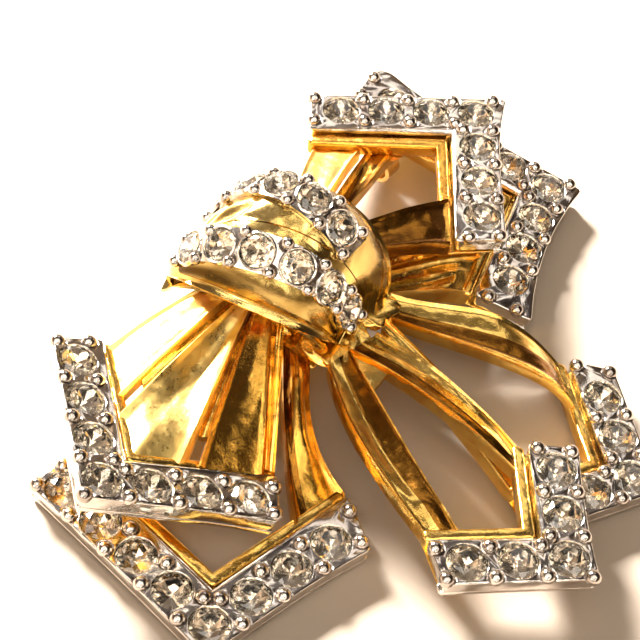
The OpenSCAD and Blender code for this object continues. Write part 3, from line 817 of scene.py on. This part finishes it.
KNOT_GOLD = plating("knot_gold", (0.86, 0.6, 0.2), (0.4, 0.24, 0.04),
                    tarnished=0.7, polish=0.14, grain=0.2, waves=0.06)
# The shade attribute mixes the knot's gold towards near black: painted shade.
knot_nodes, knot_links = KNOT_GOLD.node_tree.nodes, KNOT_GOLD.node_tree.links
blend, painted_shade_node = knot_nodes.new("ShaderNodeMix"), knot_nodes.new("ShaderNodeAttribute")
blend.data_type = "RGBA"
blend.inputs[7].default_value = (0.07, 0.035, 0.006, 1)
painted_shade_node.attribute_name = "shade"
knot_links.new(painted_shade_node.outputs["Fac"], blend.inputs[0])
knot_links.new(knot_nodes["Group"].outputs["Colour"], blend.inputs[6])
knot_links.new(blend.outputs[2], knot_nodes["Principled BSDF"].inputs["Base Color"])
for side, band in BANDS.items():
    finish_piece(f"knot_{side}_wrap_gold", knot_band(band), (KNOT_GOLD,), [f"knot_{side}_wrap"])

# Knot strips. Each band carries a raised, rhodium plated strip with smaller
# stones in a row and beads along both of its edges.
STRIP_ROWS, STRIP_ACROSS, STONE_TURN = 48, 8, 0.5
SMALL_BEAD_D, BEAD_ROW, BEAD_END = 0.9, 0.84, 0.11


def strip_place(band, v):
    """Places what sits on a strip, upright on the dome."""
    u = strip_mid(band, v)
    z = knot_normal(u, v)
    x = Vector((0, 1, 0)).cross(z).normalized()
    place = Matrix((x, z.cross(x), z)).transposed().to_4x4()
    place.translation = on_knot(u, v, STRIP_RISE - SINK)
    return place


def paved_strip(band):
    """The strip before its seats are cut, as a slab bent over the dome."""
    bm = bmesh.new()
    bmesh.ops.create_grid(bm, x_segments=STRIP_ACROSS, y_segments=STRIP_ROWS, size=1)
    low, high = strip_span(band)
    half = strip_half(band)
    for p in bm.verts:
        v = mix(low, high, (p.co.y + 1) / 2)
        p.co = on_knot(strip_mid(band, v) + p.co.x * half, v, STRIP_RISE)
    thicken(bm, STRIP_T)
    return bm


for side, band in BANDS.items():
    strip = paved_strip(band)
    seats, stones = bmesh.new(), bmesh.new()
    places = band["stones"]
    for n, v in enumerate(places):
        place = strip_place(band, v)
        add_to(seats, seat(KNOT_STONE_D), place)
        add_to(stones, brilliant(KNOT_STONE_D), place @ Matrix.Rotation(STONE_TURN * n, 4, "Z"))
    between = [(a + b) / 2 for a, b in zip(places, places[1:])]
    beads = []
    for v in [places[0] - BEAD_END, *between, places[-1] + BEAD_END]:
        for across in (-BEAD_ROW, BEAD_ROW):
            place = strip_place(band, v)
            place.translation = on_knot(strip_mid(band, v) + across * strip_half(band), v, STRIP_RISE)
            beads.append(place)
            add_to(seats, moat(SMALL_BEAD_D), place)
    strip = cut_seats(strip, seats)
    for v in places:
        add_to(strip, collar(KNOT_STONE_D), strip_place(band, v))
    for place in beads:
        add_to(strip, bead(SMALL_BEAD_D), place)
    finish_piece(f"knot_{side}_strip_pave", strip, SETTING, [f"knot_{side}_strip"])
    finish_piece(f"knot_{side}_stone_row", stones, FOILED_GLASS, [f"knot_{side}_stones"],
                 smooth=0)

# Pin. Behind the bow, a plain stem runs from a barrel hinge on one post to an
# open hook on the other, both under the upper loops. It is gold plated and
# duller than the front.
PIN_PLATE = plating("pin_plate", (0.83, 0.55, 0.2), (0.5, 0.3, 0.1),
                    tarnished=0.6, polish=0.35, grain=0.4, waves=0.1)
PIN_X, PIN_Y, PIN_Z, STEM_D, POINT_L = 15.9, 12.2, 2.2, 1.1, 2.2
HINGE_TOP, CATCH_TOP, POST_DROP, POST_R, FOOT_R = 3.6, 4.2, 0.8, 0.75, 1.5
BARREL_R, BARREL_HALF, BARREL_EDGE = 1, 1.2, 0.1
HOOK_HALF, HOOK_IN, HOOK_OUT, HOOK_TURN = 0.7, 0.75, 1.05, math.radians(-250)

bm = bmesh.new()
along, crosswise = Matrix.Rotation(math.radians(90), 4, "Y"), Matrix.Rotation(math.radians(90), 4, "X")
for x, top in ((-PIN_X, HINGE_TOP), (PIN_X, CATCH_TOP)):
    low = PIN_Z - POST_DROP
    post = turned(((0, low), (POST_R - 0.05, low), (POST_R, PIN_Z), (POST_R + 0.15, top - 0.3),
                   (FOOT_R, top), (0, top)), 24)
    add_to(bm, post, Matrix.Translation((x, PIN_Y, 0)))
stem = turned(((0, -PIN_X), (STEM_D / 2, -PIN_X), (STEM_D * 0.4, PIN_X), (0, PIN_X + POINT_L)), 24)
add_to(bm, stem, Matrix.Translation((0, PIN_Y, PIN_Z)) @ along)
barrel = turned([(0, -BARREL_HALF), (BARREL_R - BARREL_EDGE, -BARREL_HALF),
                 (BARREL_R, BARREL_EDGE - BARREL_HALF), (BARREL_R, BARREL_HALF - BARREL_EDGE),
                 (BARREL_R - BARREL_EDGE, BARREL_HALF), (0, BARREL_HALF)], 32)
add_to(bm, barrel, Matrix.Translation((-PIN_X, PIN_Y, PIN_Z)) @ crosswise)
hook = bmesh.new()
section = (-HOOK_HALF, HOOK_IN), (-HOOK_HALF, HOOK_OUT), (HOOK_HALF, HOOK_OUT), (HOOK_HALF, HOOK_IN)
verts = [hook.verts.new((PIN_X + x, PIN_Y + y, PIN_Z)) for x, y in section]
edges = [hook.edges.new(pair) for pair in zip(verts, verts[1:] + verts[:1])]
bmesh.ops.spin(hook, geom=verts + edges, axis=(1, 0, 0), cent=(PIN_X, PIN_Y, PIN_Z), angle=HOOK_TURN,
               steps=24)
bmesh.ops.holes_fill(hook, edges=hook.edges, sides=4)
bmesh.ops.recalc_face_normals(hook, faces=hook.faces)
add_to(bm, hook)
finish_piece("pin_back_gold", bm, (PIN_PLATE,), ["pin_back"])

# Table. The brooch lies on a plain pale surface, lit so brightly that it looks
# white except in the shadows, which are warm.
TABLE_HALF, TABLE_GAP = 2, 0.1 * MM
table_mesh = bpy.data.meshes.new("table")
bm = bmesh.new()
bmesh.ops.create_grid(bm, x_segments=1, y_segments=1, size=TABLE_HALF)
bmesh.ops.translate(bm, vec=(0, 0, -TABLE_GAP), verts=bm.verts)
bm.to_mesh(table_mesh)
bm.free()
table = bpy.data.objects.new("table", table_mesh)
bpy.context.scene.collection.objects.link(table)
paper = bpy.data.materials.new("table_white")
paper.use_nodes = True
paper.node_tree.nodes["Principled BSDF"].inputs["Base Color"].default_value = (0.32, 0.255, 0.195, 1)
paper.node_tree.nodes["Principled BSDF"].inputs["Roughness"].default_value = 0.7
table_mesh.materials.append(paper)

# Light. A window behind the brooch gives the light and the shadows. The room is
# warm near the floor and dark above it, brighter towards the window, and small
# bright panels on the photographer's side make the stones sparkle.
ROOM = (
    (0.0, (0.9, 0.66, 0.44)), (0.14, (0.8, 0.56, 0.36)), (0.34, (0.16, 0.11, 0.07)),
    (0.7, (0.07, 0.05, 0.04)), (0.86, (0.12, 0.1, 0.09)), (1.0, (0.15, 0.12, 0.1)),
)
WINDOW_SIDE, WALLS, ROOM_LIGHT = (-0.3, 0.7), (0.3, 1.5), 1.6
PANEL_SIDE, PANEL_CONE, PANEL_SIZE, PANEL_EDGE = (-0.57, -0.28, 0.77), (0.68, 0.76), 9, (0.55, 0.57)
PANEL_LIGHT, PANEL_COLOUR = (0, 3.2), (1.0, 0.92, 0.8)

world = bpy.data.worlds.new("studio")
bpy.context.scene.world = world
world.use_nodes = True
sky, paths = world.node_tree.nodes, world.node_tree.links


def mapped(source, taken, given=(0, 1)):
    """A value of the sky, spread from the range taken to the range given."""
    spread = sky.new("ShaderNodeMapRange")
    spread.inputs["From Min"].default_value, spread.inputs["From Max"].default_value = taken
    spread.inputs["To Min"].default_value, spread.inputs["To Max"].default_value = given
    paths.new(source, spread.inputs["Value"])
    return spread.outputs[0]


facing, height, room = (sky.new("ShaderNode" + kind) for kind in ("TexCoord", "SeparateXYZ", "ValToRGB"))
paths.new(facing.outputs["Generated"], height.inputs[0])
paths.new(height.outputs["Z"], room.inputs["Fac"])
stops = [*room.color_ramp.elements, *(room.color_ramp.elements.new(0.5) for _ in ROOM[2:])]
for (spot, colour), stop in zip(ROOM, stops):
    stop.position, stop.color = spot, (*colour, 1)
dimmed = sky.new("ShaderNodeVectorMath")
dimmed.operation = "SCALE"
paths.new(room.outputs["Color"], dimmed.inputs[0])
paths.new(mapped(height.outputs["Y"], WINDOW_SIDE, WALLS), dimmed.inputs["Scale"])
toward, panels = sky.new("ShaderNodeVectorMath"), sky.new("ShaderNodeTexNoise")
toward.operation = "DOT_PRODUCT"
toward.inputs[1].default_value = PANEL_SIDE
panels.inputs["Scale"].default_value, panels.inputs["Detail"].default_value = PANEL_SIZE, 0
paths.new(facing.outputs["Generated"], toward.inputs[0])
paths.new(facing.outputs["Generated"], panels.inputs["Vector"])
shine, warm, both = (sky.new("ShaderNode" + kind) for kind in ("Math", "VectorMath", "VectorMath"))
shine.operation, warm.operation = "MULTIPLY", "SCALE"
paths.new(mapped(toward.outputs["Value"], PANEL_CONE), shine.inputs[0])
paths.new(mapped(panels.outputs["Fac"], PANEL_EDGE, PANEL_LIGHT), shine.inputs[1])
warm.inputs[0].default_value = PANEL_COLOUR
paths.new(shine.outputs[0], warm.inputs["Scale"])
paths.new(dimmed.outputs[0], both.inputs[0])
paths.new(warm.outputs[0], both.inputs[1])
paths.new(both.outputs[0], sky["Background"].inputs["Color"])
sky["Background"].inputs["Strength"].default_value = ROOM_LIGHT


def soft_light(name, place, size, power, colour):
    """An oblong light at a place, turned to the brooch."""
    lamp = bpy.data.lights.new(name, "AREA")
    lamp.shape, lamp.size, lamp.size_y = "RECTANGLE", *size
    lamp.energy, lamp.color = power, colour
    light = bpy.data.objects.new(name, lamp)
    light.location = place
    light.rotation_mode = "QUATERNION"
    light.rotation_quaternion = (-Vector(place)).to_track_quat("-Z", "Y")
    bpy.context.scene.collection.objects.link(light)


soft_light("window", (0.28, 0.69, 0.41), (0.22, 0.17), 92.0, (1.0, 0.99, 0.97))
soft_light("side", (-0.34, 0.06, 0.16), (0.08, 0.14), 0.2, (1.0, 0.92, 0.82))
soft_light("ceiling", (-0.22, -0.08, 0.3), (0.14, 0.14), 0.06, (1.0, 0.93, 0.86))
soft_light("wall", (0.26, 0.1, 0.32), (0.2, 0.12), 0.1, (1.0, 0.92, 0.84))

# Camera. It looks down on the brooch from 13 cm away, past its lower left end,
# and is turned so that the top of the bow points to the picture's upper left.
PICTURE_PX, FOCAL_PX, SENSOR_MM = 640, 1899.2, 36
EYE = Vector((-73.15, -29.2, 103.43)) * MM
AHEAD, RIGHT = Vector((0.5666, 0.2795, -0.7752)), Vector((0.5702, -0.8121, 0.124))
UP = Vector((0.5949, 0.5123, 0.6195))

camera_data = bpy.data.cameras.new("camera")
camera_data.sensor_width = SENSOR_MM
camera_data.lens = FOCAL_PX / PICTURE_PX * SENSOR_MM
camera_data.clip_start, camera_data.clip_end = 0.01, 5
camera = bpy.data.objects.new("camera", camera_data)
camera.matrix_world = Matrix((RIGHT, UP, -AHEAD)).transposed().to_4x4()
camera.location = EYE
bpy.context.scene.collection.objects.link(camera)
bpy.context.scene.camera = camera
bpy.context.scene.view_settings.view_transform = "Standard"
